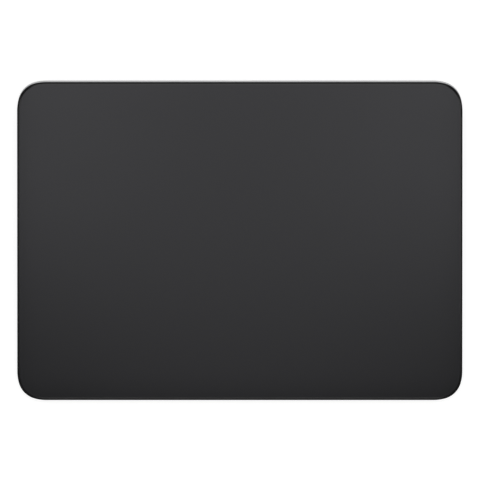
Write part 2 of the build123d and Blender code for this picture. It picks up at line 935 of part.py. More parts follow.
def battery_cell(side):
    """A pouch cell with its folded seal at the inner end."""
    x = side * battery_x
    body = rounded_block(
        battery_length, battery_depth, battery_bottom, battery_top, battery_corner_radius, x, battery_y
    )
    body = chamfer(body.edges().group_by(Axis.Z)[-1], battery_edge_bevel)
    fold_x = side * (battery_x - battery_length / 2 - battery_fold_width / 2)
    fold_length = battery_depth - 2 * battery_corner_radius - 2 * battery_edge_bevel
    fold_top = battery_bottom + battery_fold_height
    fold = block(battery_fold_width, fold_length, battery_bottom, fold_top, fold_x, battery_y)
    return body + fold


def battery_adhesive():
    """Adhesive strips under each cell."""
    length = battery_depth - 2 * adhesive_inset
    reach = battery_length / 2 - adhesive_inset - adhesive_width / 2
    return [
        block(adhesive_width, length, floor_top, battery_bottom, side * battery_x + end * reach, battery_y)
        for side in (-1, 1)
        for end in (-1, 1)
    ]


def battery_guards():
    """The protection board of each cell, wrapped in tape."""
    top = floor_top + guard_thickness
    corner = guard_thickness / 4
    return [
        rounded_block(guard_width, guard_length, floor_top, top, corner, side * guard_x, guard_y)
        for side in (-1, 1)
    ]


def cable_start(top):
    """Middle of a flat cable that lies on a surface."""
    return top + cable_thickness / 2


def battery_cable(side):
    """From the protection board up to its socket on the logic board."""
    low = cable_start(floor_top + guard_thickness)
    high = cable_start(connector_top)
    x = side * guard_x
    rise_end = board_front - bracket_board_gap
    rise_start = rise_end - (high - low) - 2 * cable_bend
    points = (
        (x, battery_rear - cable_tail, low),
        (x, rise_start, low),
        (x, rise_end, high),
        (x, connector_y + connector_depth / 2, high),
    )
    return ribbon(points, cable_bend, thin_cable_width, (1, 0, 0))


def battery_cables():
    """One flat cable from each cell."""
    return [battery_cable(side) for side in (-1, 1)]


# Haptic engine

def haptic_bracket():
    """The steel plate that carries the cores on two rails."""
    plate = rounded_block(
        bracket_width, haptic_length, bracket_under, bracket_top, bracket_corner_radius, 0, haptic_v
    )
    length = core_count * core_pitch
    yoke_x = core_back_x + core_yoke / 2
    tip_x = core_face_x - bracket_rail_width / 2
    plate += block(core_yoke, length, bracket_top, core_under, yoke_x, haptic_v)
    plate += block(bracket_rail_width, length, bracket_top, core_under, tip_x, haptic_v)
    hole = board_screw_shank_radius + screw_hole_clearance
    for x, v in haptic_screw_spots:
        plate -= prism(shank_sides, hole, bracket_under - overrun, bracket_top + overrun, x, v)
    return deck * plate


def core_places():
    """Where the middle legs of the cores lie along the glass."""
    return [haptic_v + (number - (core_count - 1) / 2) * core_pitch for number in range(core_count)]


def haptic_cores():
    """E-shaped laminated cores, with their legs towards the armature."""
    cores = []
    gap = (core_width - core_middle_leg) / 2 - core_side_leg
    leg_length = core_length - core_yoke
    window_x = core_back_x + core_yoke + leg_length / 2
    for v in core_places():
        core = block(core_length, core_width, core_under, core_top, core_back_x + core_length / 2, v)
        for side in (-1, 1):
            window_v = v + side * (core_middle_leg + gap) / 2
            core -= block(leg_length, gap, core_under - overrun, core_top + overrun, window_x, window_v)
        cores.append(deck * core)
    return cores


def haptic_coils():
    """Windings round the middle leg of each core."""
    coils = []
    length = core_length - core_yoke - core_tip_length
    start_x = core_back_x + core_yoke
    inner_v = core_middle_leg + 2 * coil_leg_clearance
    inner_w = core_thickness + 2 * coil_leg_clearance
    for v in core_places():
        face = Plane(origin=(start_x, v, (core_top + core_under) / 2), x_dir=(0, 1, 0), z_dir=(1, 0, 0))
        outer = RectangleRounded(inner_v + 2 * coil_build, inner_w + 2 * coil_build, coil_corner_radius)
        winding = outer - Rectangle(inner_v, inner_w)
        coils.append(deck * extrude(face * winding, length))
    return coils


def haptic_screws():
    """Screws that hold the bracket to its bosses."""
    length = bracket_thickness + board_screw_grip
    one = screw(board_screw_head_radius, board_screw_head_height, board_screw_shank_radius, length)
    return [deck * Pos(x, v, bracket_top) * one for x, v in haptic_screw_spots]


def haptic_cable():
    """From the backs of the cores over the bracket to the logic board."""
    level = cable_start(bracket_top)
    x = haptic_cable_x()
    y_start = haptic_y - core_pitch
    y_end = haptic_y + (haptic_length + bracket_board_gap) / 2
    high = cable_start(connector_top)
    low_start = deck_height(y_start, level)
    low_end = deck_height(y_end, level)
    points = (
        (x, y_start, low_start),
        (x, y_end, low_end),
        (x, board_front + connector_edge_gap, high),
        (x, connector_y + connector_depth / 2, high),
    )
    return ribbon(points, cable_bend, thin_cable_width, (1, 0, 0))


# Other cables and the antenna

def touch_cable():
    """A loop of flat cable from the sensor board down to the logic board."""
    level = sensor_under - cable_thickness
    low = cable_start(connector_top)
    front = board_y - touch_cable_reach / 2
    rear = board_y + touch_cable_reach / 2
    bend = (deck_height(front, level) - low) / 2 - cable_thickness
    points = (
        (touch_cable_x, rear, deck_height(rear, level)),
        (touch_cable_x, front, deck_height(front, level)),
        (touch_cable_x, front, low),
        (touch_cable_x, touch_socket_y() + connector_depth / 2, low),
    )
    return ribbon(points, bend, touch_cable_width, (1, 0, 0))


def switch_cable():
    """From the switch board across to the logic board."""
    edge = switch_x - switch_board_length / 2
    board_edge = board_length / 2
    y = switch_board_y - switch_board_depth / 2 + cable_edge_gap + thin_cable_width / 2
    high = cable_start(switch_board_top)
    low = cable_start(board_top)
    middle = (edge + board_edge) / 2
    fall = cable_bend / 2
    points = (
        (edge + cable_head, y, high),
        (middle + fall, y, high),
        (middle - fall, y, low),
        (board_edge - cable_head, y, low),
    )
    return ribbon(points, cable_bend, thin_cable_width, (0, 1, 0))


def antenna_carrier():
    """The moulded bar that holds the antenna just under the glass."""
    bar = rounded_block(
        antenna_length, antenna_width, antenna_under, antenna_level, antenna_width / 4, antenna_x, antenna_v
    )
    return deck * bar


def antenna_element():
    """The bent foil of the antenna, on top of its carrier."""
    reach = antenna_length / 2 - antenna_foil_width
    size_v = antenna_width - 2 * antenna_foil_width
    top = antenna_level + antenna_foil
    rear_v = antenna_v + (size_v - antenna_foil_width) / 2
    foil = block(2 * reach, antenna_foil_width, antenna_level, top, antenna_x, rear_v)
    for share in (-1, 0):
        x = antenna_x + share * (reach - antenna_foil_width / 2)
        foil += block(antenna_foil_width, size_v, antenna_level, top, x, antenna_v)
    return deck * foil


def antenna_lead():
    """The thin coaxial lead from the radio module to the antenna, drawn with eight sides."""
    start_z = board_top + lead_radius
    start_x = radio_x - radio_length / 2
    antenna_y = middle_y + antenna_v * cos(tilt)
    end_x = antenna_x + antenna_length / 2 - lead_seat
    end_z = deck_height(antenna_y - antenna_width / 2, antenna_under) - lead_radius
    turn_x = end_x + lead_seat + antenna_board_gap / 2
    points = (
        (start_x, board_y, start_z),
        (turn_x, board_y, start_z),
        (turn_x, antenna_y, end_z),
        (end_x, antenna_y, end_z),
    )
    path = FilletPolyline(*points, radius=lead_bend)
    start = Plane(origin=path @ 0, x_dir=(0, 0, 1), z_dir=path % 0)
    return sweep(start * RegularPolygon(lead_radius, lead_sides), path=path)


# Writing the pieces

def pieces():
    """Every piece by the name of its node."""
    made = {
        "housing": housing(),
        "glass_surface": glass_surface(),
        "bond_film": bond_film(),
        "touch_sensor_board": touch_sensor_board(),
        "stiffener_plate": stiffener_plate(),
        "touch_controller": touch_controller(),
        "haptic_armature": haptic_armature(),
        "strain_gauges": strain_gauges(),
        "gel_pads": gel_pads(),
        "beam_screws": beam_screws(),
        "logic_board": logic_board(),
        "processor_shield": processor_shield(),
        "processor_chips": processor_chips(),
        "radio_module": radio_module(),
        "charger_chip": charger_chip(),
        "board_capacitors": board_capacitors(),
        "board_connectors": board_connectors(),
        "board_screws": board_screws(),
        "port_shell": port_shell(),
        "port_tongue": port_tongue(),
        "port_contacts": port_contacts(),
        "switch_surround": switch_surround(),
        "switch_on_mark": switch_on_mark(),
        "switch_knob": switch_knob(),
        "switch_wiper": switch_wiper(),
        "switch_case": switch_case(),
        "switch_board": switch_board(),
        "switch_cable": switch_cable(),
        "battery_cell_left": battery_cell(-1),
        "battery_cell_right": battery_cell(1),
        "battery_adhesive": battery_adhesive(),
        "battery_guards": battery_guards(),
        "battery_cables": battery_cables(),
        "haptic_bracket": haptic_bracket(),
        "haptic_cores": haptic_cores(),
        "haptic_coils": haptic_coils(),
        "haptic_screws": haptic_screws(),
        "haptic_cable": haptic_cable(),
        "touch_cable": touch_cable(),
        "antenna_carrier": antenna_carrier(),
        "antenna_element": antenna_element(),
        "antenna_lead": antenna_lead(),
    }
    for place, (x, y) in foot_places().items():
        made["foot_" + place] = foot(x, y)
    beam_names = ("front_left", "rear_left", "front_right", "rear_right")
    for place, (x, v) in zip(beam_names, beam_centres):
        made["sensor_beam_" + place] = sensor_beam(x, v)
    return made


os.makedirs("parts", exist_ok=True)
for name, shape in pieces().items():
    solids = shape if isinstance(shape, list) else [shape]
    export_step(Compound([solid for one in solids for solid in one.solids()]), f"parts/{name}.step")
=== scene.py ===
import math

import bmesh
import bpy
from mathutils import Matrix, Vector


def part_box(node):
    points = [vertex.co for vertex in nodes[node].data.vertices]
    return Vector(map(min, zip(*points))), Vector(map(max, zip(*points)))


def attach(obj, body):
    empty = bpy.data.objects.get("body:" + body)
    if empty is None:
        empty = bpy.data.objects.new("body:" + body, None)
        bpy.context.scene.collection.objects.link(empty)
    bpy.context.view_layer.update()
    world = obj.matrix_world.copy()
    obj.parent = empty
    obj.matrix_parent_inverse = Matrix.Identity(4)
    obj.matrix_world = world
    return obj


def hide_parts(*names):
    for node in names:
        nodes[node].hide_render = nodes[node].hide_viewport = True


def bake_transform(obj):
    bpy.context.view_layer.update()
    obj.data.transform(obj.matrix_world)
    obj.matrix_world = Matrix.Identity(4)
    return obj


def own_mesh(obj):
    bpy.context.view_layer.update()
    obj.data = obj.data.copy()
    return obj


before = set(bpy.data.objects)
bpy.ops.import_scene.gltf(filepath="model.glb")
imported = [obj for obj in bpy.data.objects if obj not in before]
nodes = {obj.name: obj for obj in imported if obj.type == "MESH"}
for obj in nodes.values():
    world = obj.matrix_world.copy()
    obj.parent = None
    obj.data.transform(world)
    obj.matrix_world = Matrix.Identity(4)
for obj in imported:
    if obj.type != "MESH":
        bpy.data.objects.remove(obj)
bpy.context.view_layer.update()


# Camera. The photograph looks straight down on the pad through a very long lens, so that of the walls
# only the rear one's bulge shows. Its frame is 172.48 mm wide, and the pad's middle lies a hair to the
# left of and below its centre.
view_width = 0.17248
view_x = 0.00007
view_y = 0.00011
lens_length = 1200.0
chip_width = 36.0
pad_middle_z = 0.0079

camera_data = bpy.data.cameras.new("overhead_camera")
camera_data.lens = lens_length
camera_data.sensor_width = chip_width
camera_data.clip_start = 0.1
camera_data.clip_end = 20.0
camera = bpy.data.objects.new("overhead_camera", camera_data)
camera.location = (view_x, view_y, pad_middle_z + view_width * lens_length / chip_width)
bpy.context.scene.collection.objects.link(camera)
bpy.context.scene.camera = camera


# Housing. One block of aluminium, milled to a wedge with a rounded rear and a thin floor, blasted with
# fine glass beads and then anodised in its natural silver, which leaves a soft satin grain.
def new_finish(name, roughness, metal=0.0, gloss=0.5):
    """A fresh material, its node tree and shader, and the place on the piece in metres."""
    material = bpy.data.materials.new(name)
    material.use_nodes = True
    tree = material.node_tree
    shader = tree.nodes["Principled BSDF"]
    shader.inputs["Roughness"].default_value = roughness
    shader.inputs["Metallic"].default_value = metal
    shader.inputs["Specular IOR Level"].default_value = gloss
    place = tree.nodes.new("ShaderNodeTexCoord")
    return material, tree, shader, place.outputs["Object"]


def grain(tree, place, size, detail=2.0, stretch=(1.0, 1.0, 1.0)):
    """An even random grain of a given size in metres, drawn out along an axis where stretch is over 1."""
    mapping = tree.nodes.new("ShaderNodeMapping")
    mapping.inputs["Scale"].default_value = tuple(1 / (size * factor) for factor in stretch)
    noise = tree.nodes.new("ShaderNodeTexNoise")
    noise.inputs["Scale"].default_value = 1.0
    noise.inputs["Detail"].default_value = detail
    tree.links.new(place, mapping.inputs["Vector"])
    tree.links.new(mapping.outputs["Vector"], noise.inputs["Vector"])
    return noise.outputs["Fac"]


def spread(tree, value, low, high, start=0.3, end=0.7):
    """A grain's middle range stretched between two numbers."""
    fit = tree.nodes.new("ShaderNodeMapRange")
    fit.inputs["From Min"].default_value = start
    fit.inputs["From Max"].default_value = end
    fit.inputs["To Min"].default_value = low
    fit.inputs["To Max"].default_value = high
    tree.links.new(value, fit.inputs["Value"])
    return fit.outputs["Result"]


def blend_colours(tree, value, first, second, start=0.35, end=0.65):
    """Two colours that pass into each other over a grain."""
    ramp = tree.nodes.new("ShaderNodeValToRGB")
    ramp.color_ramp.elements[0].position = start
    ramp.color_ramp.elements[0].color = (*first, 1.0)
    ramp.color_ramp.elements[1].position = end
    ramp.color_ramp.elements[1].color = (*second, 1.0)
    tree.links.new(value, ramp.inputs["Fac"])
    return ramp.outputs["Color"]


def raise_surface(tree, shader, value, depth):
    """Small relief from a grain, with its full depth in metres."""
    bump = tree.nodes.new("ShaderNodeBump")
    bump.inputs["Distance"].default_value = depth
    tree.links.new(value, bump.inputs["Height"])
    tree.links.new(bump.outputs["Normal"], shader.inputs["Normal"])


housing_half_x = 0.080
housing_half_y = 0.05745
underside_z = 0.0006
floor_thickness = 0.0009
wall_thickness = 0.0014
under_edge_radius = 0.0012
rear_roll_radius = 0.005
rear_lip = 0.00055
rim_break = 0.00012
ease_turn = math.radians(15)
ease_radius = 0.016
tight_radius = 0.0081
arc_steps = (8, 20, 8)
straight_run_steps = 16
edge_steps = 8
roll_steps = 10
wall_steps = 8

# The glass's face lies in a tilted plane, called the deck here, which passes through the deck's origin.
# A place on it is given by x and v, and a level measured square to it is below zero under the face.
deck_tilt = math.radians(3.0036)
deck_origin = (0.0, -rear_lip / 2, pad_middle_z)
deck_place = Matrix.Translation(deck_origin) @ Matrix.Rotation(deck_tilt, 4, "X")
deck_normal = Vector((0.0, -math.sin(deck_tilt), math.cos(deck_tilt)))
glass_thickness = 0.001
glass_rim_gap = 0.00035
glass_half_v = (housing_half_y - rear_lip / 2) / math.cos(deck_tilt)


def eased_outline(half_x, half_y, inset, straight_steps=1):
    """The plan outline, whose corners turn gently, then tightly, then gently again."""
    gentle = ease_radius - inset
    tight = tight_radius - inset
    leg = gentle * (1 - math.cos(ease_turn) + math.sin(ease_turn))
    leg += tight * (math.cos(ease_turn) - math.sin(ease_turn))
    arcs = ((gentle, ease_turn), (tight, math.pi / 2 - 2 * ease_turn), (gentle, ease_turn))
    corners = ((half_x, -half_y), (half_x, half_y), (-half_x, half_y), (-half_x, -half_y))
    outline = []
    for number, corner in enumerate(corners):
        heading = number * math.pi / 2
        along = Vector((math.cos(heading), math.sin(heading)))
        point = Vector(corner) - along * leg
        before = Vector(corners[number - 1]) + along * leg
        for step in range(1, straight_steps):
            outline.append(before.lerp(point, step / straight_steps))
        for (radius, turned), steps in zip(arcs, arc_steps):
            centre = point + radius * Vector((-math.sin(heading), math.cos(heading)))
            for step in range(steps):
                angle = heading + turned * step / steps
                outline.append(centre + radius * Vector((math.sin(angle), -math.cos(angle))))
            heading += turned
            point = centre + radius * Vector((math.sin(heading), -math.cos(heading)))
        outline.append(point)
    return outline


def arc_set_in(radius, rise):
    """How far a rounded edge of a radius stands in where it still has some way to rise."""
    return radius - math.sqrt(radius ** 2 - min(max(rise, 0.0), radius) ** 2)


def rim_z(y):
    """The height of the rim, which runs parallel to the glass and just below it."""
    below = (glass_thickness + glass_rim_gap) / math.cos(deck_tilt)
    return deck_origin[2] + (y - deck_origin[1]) * math.tan(deck_tilt) - below


rear_rim_rise = rim_z(housing_half_y - rear_lip) - underside_z - rear_roll_radius
rear_lean_radius = (rear_rim_rise ** 2 + rear_lip ** 2) / (2 * rear_lip)


def rear_set_in(height):
    """How far the rear wall stands in at a height above the underside: a tight roll, then a wide one."""
    if height < rear_roll_radius:
        return arc_set_in(rear_roll_radius, rear_roll_radius - height)
    return arc_set_in(rear_lean_radius, height - rear_roll_radius)


def turn_heights(radius, steps):
    """Heights up a rounded edge, close together at its foot."""
    return [radius * (1 - math.cos(math.pi / 2 * step / steps)) for step in range(steps + 1)]


def skinned_mesh(name, stacks):
    """One closed skin over each stack of rings, with both of its ends closed."""
    built = bmesh.new()
    for rings in stacks:
        loops = [[built.verts.new(point) for point in ring] for ring in rings]
        for lower, upper in zip(loops, loops[1:]):
            for index in range(len(lower)):
                following = (index + 1) % len(lower)
                corners = (lower[index], lower[following], upper[following], upper[index])
                built.faces.new(corners).smooth = True
        built.faces.new(loops[0][::-1]).smooth = True
        built.faces.new(loops[-1]).smooth = True
    mesh = bpy.data.meshes.new(name)
    built.to_mesh(mesh)
    built.free()
    return mesh


def add_piece(name, mesh, finishes, body, node):
    """Puts a finished mesh in the scene in place of a CAD piece, on the body that carries it."""
    piece = bpy.data.objects.new(name, mesh)
    bpy.context.scene.collection.objects.link(piece)
    for finish in finishes:
        mesh.materials.append(finish)
    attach(piece, body)
    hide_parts(node)
    return piece


def machine(piece, stacks, operation="DIFFERENCE"):
    """Mills solids out of a piece, or with UNION joins them to it."""
    tool = bpy.data.objects.new("milling_tool", skinned_mesh("milling_tool", stacks))
    bpy.context.scene.collection.objects.link(tool)
    step = piece.modifiers.new("milling", "BOOLEAN")
    step.operation = operation
    step.solver = "EXACT"
    step.object = tool
    bpy.context.view_layer.update()
    milled = bpy.data.meshes.new_from_object(piece.evaluated_get(bpy.context.evaluated_depsgraph_get()))
    piece.modifiers.remove(step)
    piece.data = milled
    bpy.data.objects.remove(tool)


def keep_edges_crisp(piece):
    """Shades rounded faces as one surface and leaves real edges sharp."""
    piece.data.shade_smooth()
    piece.data.set_sharp_from_angle(angle=math.radians(30))
    even = piece.modifiers.new("even_shading", "WEIGHTED_NORMAL")
    even.mode = "FACE_AREA_WITH_ANGLE"
    even.keep_sharp = True


def upright_stack(sides, radius, bottom, top, x, y):
    """Rings of a straight post or bore that stands square to the floor."""
    angles = [2 * math.pi * side / sides for side in range(sides)]
    ring = [(x + radius * math.cos(a), y + radius * math.sin(a)) for a in angles]
    return [[Vector((*point, level)) for point in ring] for level in (bottom, top)]


def tilted(rings):
    """Rings given square to the glass, put where the glass's plane has them."""
    return [[deck_place @ point for point in ring] for ring in rings]


def middle_of(node):
    """The middle of a CAD piece at rest."""
    low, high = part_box(node)
    return (Vector(low) + Vector(high)) / 2


def pill_ring(length, height, x, y, z, steps=16):
    """A slot-shaped ring in the plane of the rear wall."""
    radius = height / 2
    ring = []
    for end in (1, -1):
        for step in range(steps + 1):
            angle = math.pi * step / steps
            across = end * ((length / 2 - radius) + radius * math.sin(angle))
            ring.append(Vector((x + across, y, z + end * radius * math.cos(angle))))
    return ring


plan = eased_outline(housing_half_x, housing_half_y, 0.0, straight_run_steps)
inner_plan = eased_outline(
    housing_half_x - wall_thickness, housing_half_y - wall_thickness, wall_thickness, straight_run_steps
)
plan_inward = [(inner - outer) / wall_thickness for inner, outer in zip(inner_plan, plan)]


def outer_point(index, height, break_in=0.0):
    """A point of the outer wall at a height above the underside."""
    side = arc_set_in(under_edge_radius, under_edge_radius - height)
    point = plan[index] + plan_inward[index] * (side + break_in)
    if plan[index].y > housing_half_y / 2:
        point.y -= rear_set_in(height) - side
    return point


edge_heights = turn_heights(under_edge_radius, edge_steps)
first_angle = math.acos(1 - under_edge_radius / rear_roll_radius)
roll_angles = [
    first_angle + (math.pi / 2 - first_angle) * step / roll_steps for step in range(1, roll_steps + 1)
]
wall_heights = [rear_roll_radius * (1 - math.cos(angle)) for angle in roll_angles]
lean_height = rear_rim_rise - rim_break
wall_heights += [rear_roll_radius + lean_height * step / wall_steps for step in range(1, wall_steps + 1)]
wall_span = rear_roll_radius + lean_height - under_edge_radius
wall_shares = [(height - under_edge_radius) / wall_span for height in wall_heights]

# The rear wall leans in as it rises, so the rim's height there is found for its upright line first and
# then for the point to which it has leaned.
columns = []
for index in range(len(plan)):
    upright_top = rim_z(plan[index].y) - underside_z
    top = rim_z(outer_point(index, upright_top).y) - underside_z
    heights = list(edge_heights)
    heights += [
        under_edge_radius + (top - rim_break - under_edge_radius) * share for share in wall_shares
    ]
    column = [(outer_point(index, height), underside_z + height) for height in heights]
    for turn in (30, 60):
        angle = math.radians(turn)
        height = top - rim_break * (1 - math.sin(angle))
        column.append(
            (outer_point(index, height, rim_break * (1 - math.cos(angle))), underside_z + height)
        )
    last = outer_point(index, top, rim_break)
    column.append((last, rim_z(last.y)))
    columns.append([Vector((point.x, point.y, level)) for point, level in column])
outside = [list(ring) for ring in zip(*columns)]

pocket_floor_z = underside_z + floor_thickness
pocket_roll_radius = rear_roll_radius - floor_thickness
pocket_levels = [pocket_floor_z + height for height in turn_heights(pocket_roll_radius, edge_steps)]
pocket_wall_start = 0.007
pocket_wall_step = 0.0015
pocket_levels += [pocket_wall_start + pocket_wall_step * step for step in range(4)]
pocket = []
for level in pocket_levels:
    rise = level - underside_z - rear_roll_radius
    set_in = rear_set_in(level - underside_z) if rise > 0 else arc_set_in(pocket_roll_radius, -rise)
    ring = []
    for point, inward in zip(plan, plan_inward):
        inner = point + inward * wall_thickness
        if point.y > housing_half_y / 2:
            inner.y -= set_in
        ring.append(Vector((inner.x, inner.y, level)))
    pocket.append(ring)

bead_size = 0.0001
bead_relief = 0.000005
dark_bead = (0.30, 0.302, 0.308)
pale_bead = (0.35, 0.352, 0.358)
sheen_patch = 0.02
anodised, tree, shader, place = new_finish("anodised_silver", 0.4, metal=1.0)
bead_marks = grain(tree, place, bead_size, detail=3.0)
tree.links.new(blend_colours(tree, bead_marks, dark_bead, pale_bead), shader.inputs["Base Color"])
tree.links.new(spread(tree, grain(tree, place, sheen_patch), 0.37, 0.41), shader.inputs["Roughness"])
raise_surface(tree, shader, bead_marks, bead_relief)
housing = add_piece(
    "milled_housing", skinned_mesh("milled_housing", [outside]), [anodised], "housing", "housing",
)
machine(housing, [pocket])

# Posts stand on the pocket's floor and carry the force beams, the haptic bracket, the antenna and the
# boards. Those under the beams, the bracket and the antenna are cut square to the glass.
post_root = 0.0010
boss_radius = 0.00185
boss_sides = 32
stiffener_under = -0.0023
gel_thickness = 0.0004
beam_thickness = 0.0005
beam_inset = (0.018, 0.0192)
beam_x = housing_half_x - beam_inset[0]
beam_v = glass_half_v - beam_inset[1]
beam_screw_pitch = 0.020
beam_post_half = (0.0030, 0.0045)
beam_post_top = stiffener_under - gel_thickness - beam_thickness
beam_posts = [
    (side * beam_x + end * beam_screw_pitch / 2, row * beam_v)
    for side in (-1, 1) for end in (-1, 1) for row in (-1, 1)
]
bracket_middle_v = 0.0249425
bracket_reach = (0.009825, 0.01055)
bracket_boss_top = -0.0062
bracket_bosses = [
    (side * bracket_reach[0], bracket_middle_v + row * bracket_reach[1])
    for side in (-1, 1) for row in (-1, 1)
]
antenna_x = middle_of("antenna_carrier").x
antenna_v = 0.0534181
antenna_reach = 0.0063
antenna_post_radius = 0.0014
antenna_post_top = -0.00315
antenna_posts = [(antenna_x + side * antenna_reach, antenna_v) for side in (-1, 1)]
screw_inset = 0.0026
screw_stagger = 0.003
board_low, board_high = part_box("logic_board")
board_boss_top = board_low.z
board_bosses = [
    (x, y)
    for x in (board_low.x + screw_inset, board_high.x - screw_inset)
    for y in (board_low.y + screw_inset, board_high.y - screw_inset)
]
switch_board_low, switch_board_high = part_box("switch_board")
switch_boss_top = switch_board_low.z
switch_bosses = [
    (switch_board_high.x - screw_inset, switch_board_low.y + screw_inset),
    (switch_board_low.x + screw_inset, switch_board_low.y + screw_inset + screw_stagger),
]


def standing(stack, top):
    """A post given in the glass's plane: its top cut square to the glass, its foot sunk in the floor."""
    upper = [deck_place @ Vector((point.x, point.y, top)) for point in stack[0]]
    return [[point - deck_normal * (point.z - post_root) / deck_normal.z for point in upper], upper]


def beam_post(x, v):
    """The four corners of a beam's post."""
    half_x, half_v = beam_post_half
    corners = ((-half_x, -half_v), (half_x, -half_v), (half_x, half_v), (-half_x, half_v))
    return [[Vector((x + across, v + along, 0.0)) for across, along in corners]]


posts = [standing(beam_post(x, v), beam_post_top) for x, v in beam_posts]
posts += [
    standing(upright_stack(boss_sides, boss_radius, 0.0, 0.0, x, v), bracket_boss_top)
    for x, v in bracket_bosses
]
posts += [
    standing(upright_stack(boss_sides, antenna_post_radius, 0.0, 0.0, x, v), antenna_post_top)
    for x, v in antenna_posts
]
for top, places in ((board_boss_top, board_bosses), (switch_boss_top, switch_bosses)):
    posts += [upright_stack(boss_sides, boss_radius, post_root, top, x, y) for x, y in places]
machine(housing, posts, "UNION")

# Tapped bores, the round recesses of the feet, the port's opening with its eased mouth, the switch's
# recess and the slot for its stem are cut last.
bore_radius = 0.00075
bore_sides = 24
bore_reach = 0.0015
tool_clear = 0.0005
bores = [
    tilted(upright_stack(bore_sides, bore_radius, top - bore_reach, top + tool_clear, x, v))
    for top, places in ((beam_post_top, beam_posts), (bracket_boss_top, bracket_bosses))
    for x, v in places
]
for top, places in ((board_boss_top, board_bosses), (switch_boss_top, switch_bosses)):
    bores += [
        upright_stack(bore_sides, bore_radius, top - bore_reach, top + tool_clear, x, y) for x, y in places
    ]
foot_radius = 0.00475
foot_height = 0.0009
foot_clearance = 0.0001
foot_sides = 96
foot_inset_x = 0.016
foot_inset_front = 0.011
foot_roll_gap = 0.0018
foot_x = housing_half_x - foot_inset_x
foot_front_y = foot_inset_front - housing_half_y
foot_rear_y = housing_half_y - rear_roll_radius - foot_roll_gap - foot_radius
foot_recesses = [
    upright_stack(foot_sides, foot_radius + foot_clearance, underside_z - tool_clear, foot_height, x, y)
    for y in (foot_front_y, foot_rear_y) for x in (-foot_x, foot_x)
]
opening_z = middle_of("port_shell").z
outside_y = 0.0590
port_length = 0.00914
port_height = 0.00336
port_inside_y = 0.0530
flare_start_y = 0.0568
flare_step = 0.0002
flares = (0.0, 0.00004, 0.00014, 0.00032)
outside_flare = 0.002
port_mouth = [(port_inside_y, 0.0)]
port_mouth += [(flare_start_y + flare_step * step, flare) for step, flare in enumerate(flares)]
port_mouth.append((outside_y, outside_flare))
port_tool = [
    pill_ring(port_length + 2 * flare, port_height + 2 * flare, 0.0, y, opening_z)
    for y, flare in port_mouth
]
switch_x = middle_of("switch_surround").x
recess_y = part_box("switch_surround")[0].y
recess_size = (0.0072, 0.0026)
slot_size = (0.0045, 0.0011)
slot_depth = 0.002
slot_outside_y = 0.0574
recess_tool = [pill_ring(*recess_size, switch_x, y, opening_z) for y in (recess_y, outside_y)]
machine(housing, bores + foot_recesses + [port_tool, recess_tool])
slot_tool = [
    pill_ring(*slot_size, switch_x, y, opening_z) for y in (recess_y - slot_depth, slot_outside_y)
]
machine(housing, [slot_tool])
keep_edges_crisp(housing)


# Rubber feet. Four moulded pads of dark silicone rubber, each bonded into a shallow round recess, with a
# soft rounded rim and a slightly hollow face that holds on to the desk.
foot_rim = 0.0005
foot_hollow = 0.00012
foot_turns = 64
quarter_turn = [math.radians(angle) for angle in range(0, 91, 15)]


def turned_rings(profile, turns, centre):
    """Rings for a round piece turned from a profile of radius and height."""
    angles = [2 * math.pi * turn / turns for turn in range(turns)]
    return [
        [Vector((centre.x + radius * math.cos(a), centre.y + radius * math.sin(a), height)) for a in angles]
        for radius, height in profile
    ]


def grained(
    name, first, second, size, roughness, metal=0.0, gloss=0.5, relief=0.0, stretch=(1.0, 1.0, 1.0)
):
    """A finish whose colour, sheen and relief all follow one grain."""
    material, tree, shader, place = new_finish(name, roughness[0], metal, gloss)
    value = grain(tree, place, size, 3.0, stretch)
    tree.links.new(blend_colours(tree, value, first, second), shader.inputs["Base Color"])
    tree.links.new(spread(tree, value, *roughness), shader.inputs["Roughness"])
    if relief:
        raise_surface(tree, shader, value, relief)
    return material


rubber = grained(
    "moulded_rubber", (0.020, 0.020, 0.021), (0.028, 0.028, 0.029), 0.00025, (0.62, 0.74), gloss=0.35,
    relief=0.000012,
)
hollow_profile = ((0.55, 1.0), (0.72, 1.0), (0.76, 0.4), (0.80, 0.0))
foot_profile = [(foot_radius * share, foot_hollow * depth) for share, depth in hollow_profile]
for angle in quarter_turn:
    foot_profile.append(
        (foot_radius - foot_rim * (1 - math.sin(angle)), foot_rim * (1 - math.cos(angle)))
    )
foot_profile.append((foot_radius, foot_height))
for end in ("front", "rear"):
    for side in ("left", "right"):
        node = f"foot_{end}_{side}"
        centre = middle_of(node)
        mesh = skinned_mesh(f"rubber_{node}", [turned_rings(foot_profile, foot_turns, centre)])
        add_piece(f"rubber_{node}", mesh, [rubber], "housing", node)


# Force beams. Each corner of the pad stands on a spring-steel beam that two screws hold to posts on the
# housing's floor. Foil gauges on its thin webs feel the press, and a soft gel pad carries the pad above.
def dress(finish, *names):
    """Puts a finish on CAD pieces that keep their own shape."""
    for name in names:
        for place in nodes[name].material_slots:
            place.material = finish


beam_steel = grained(
    "beam_steel", (0.40, 0.40, 0.41), (0.47, 0.47, 0.48), 0.0002, (0.26, 0.36), metal=1.0,
    relief=0.000003, stretch=(12.0, 1.0, 1.0),
)
dress(
    beam_steel, "sensor_beam_front_left", "sensor_beam_front_right", "sensor_beam_rear_left",
    "sensor_beam_rear_right",
)


def band_scale(pitch):
    """The scale at which the wave texture makes one band in each pitch in metres."""
    return 2 * math.pi / (20 * pitch)


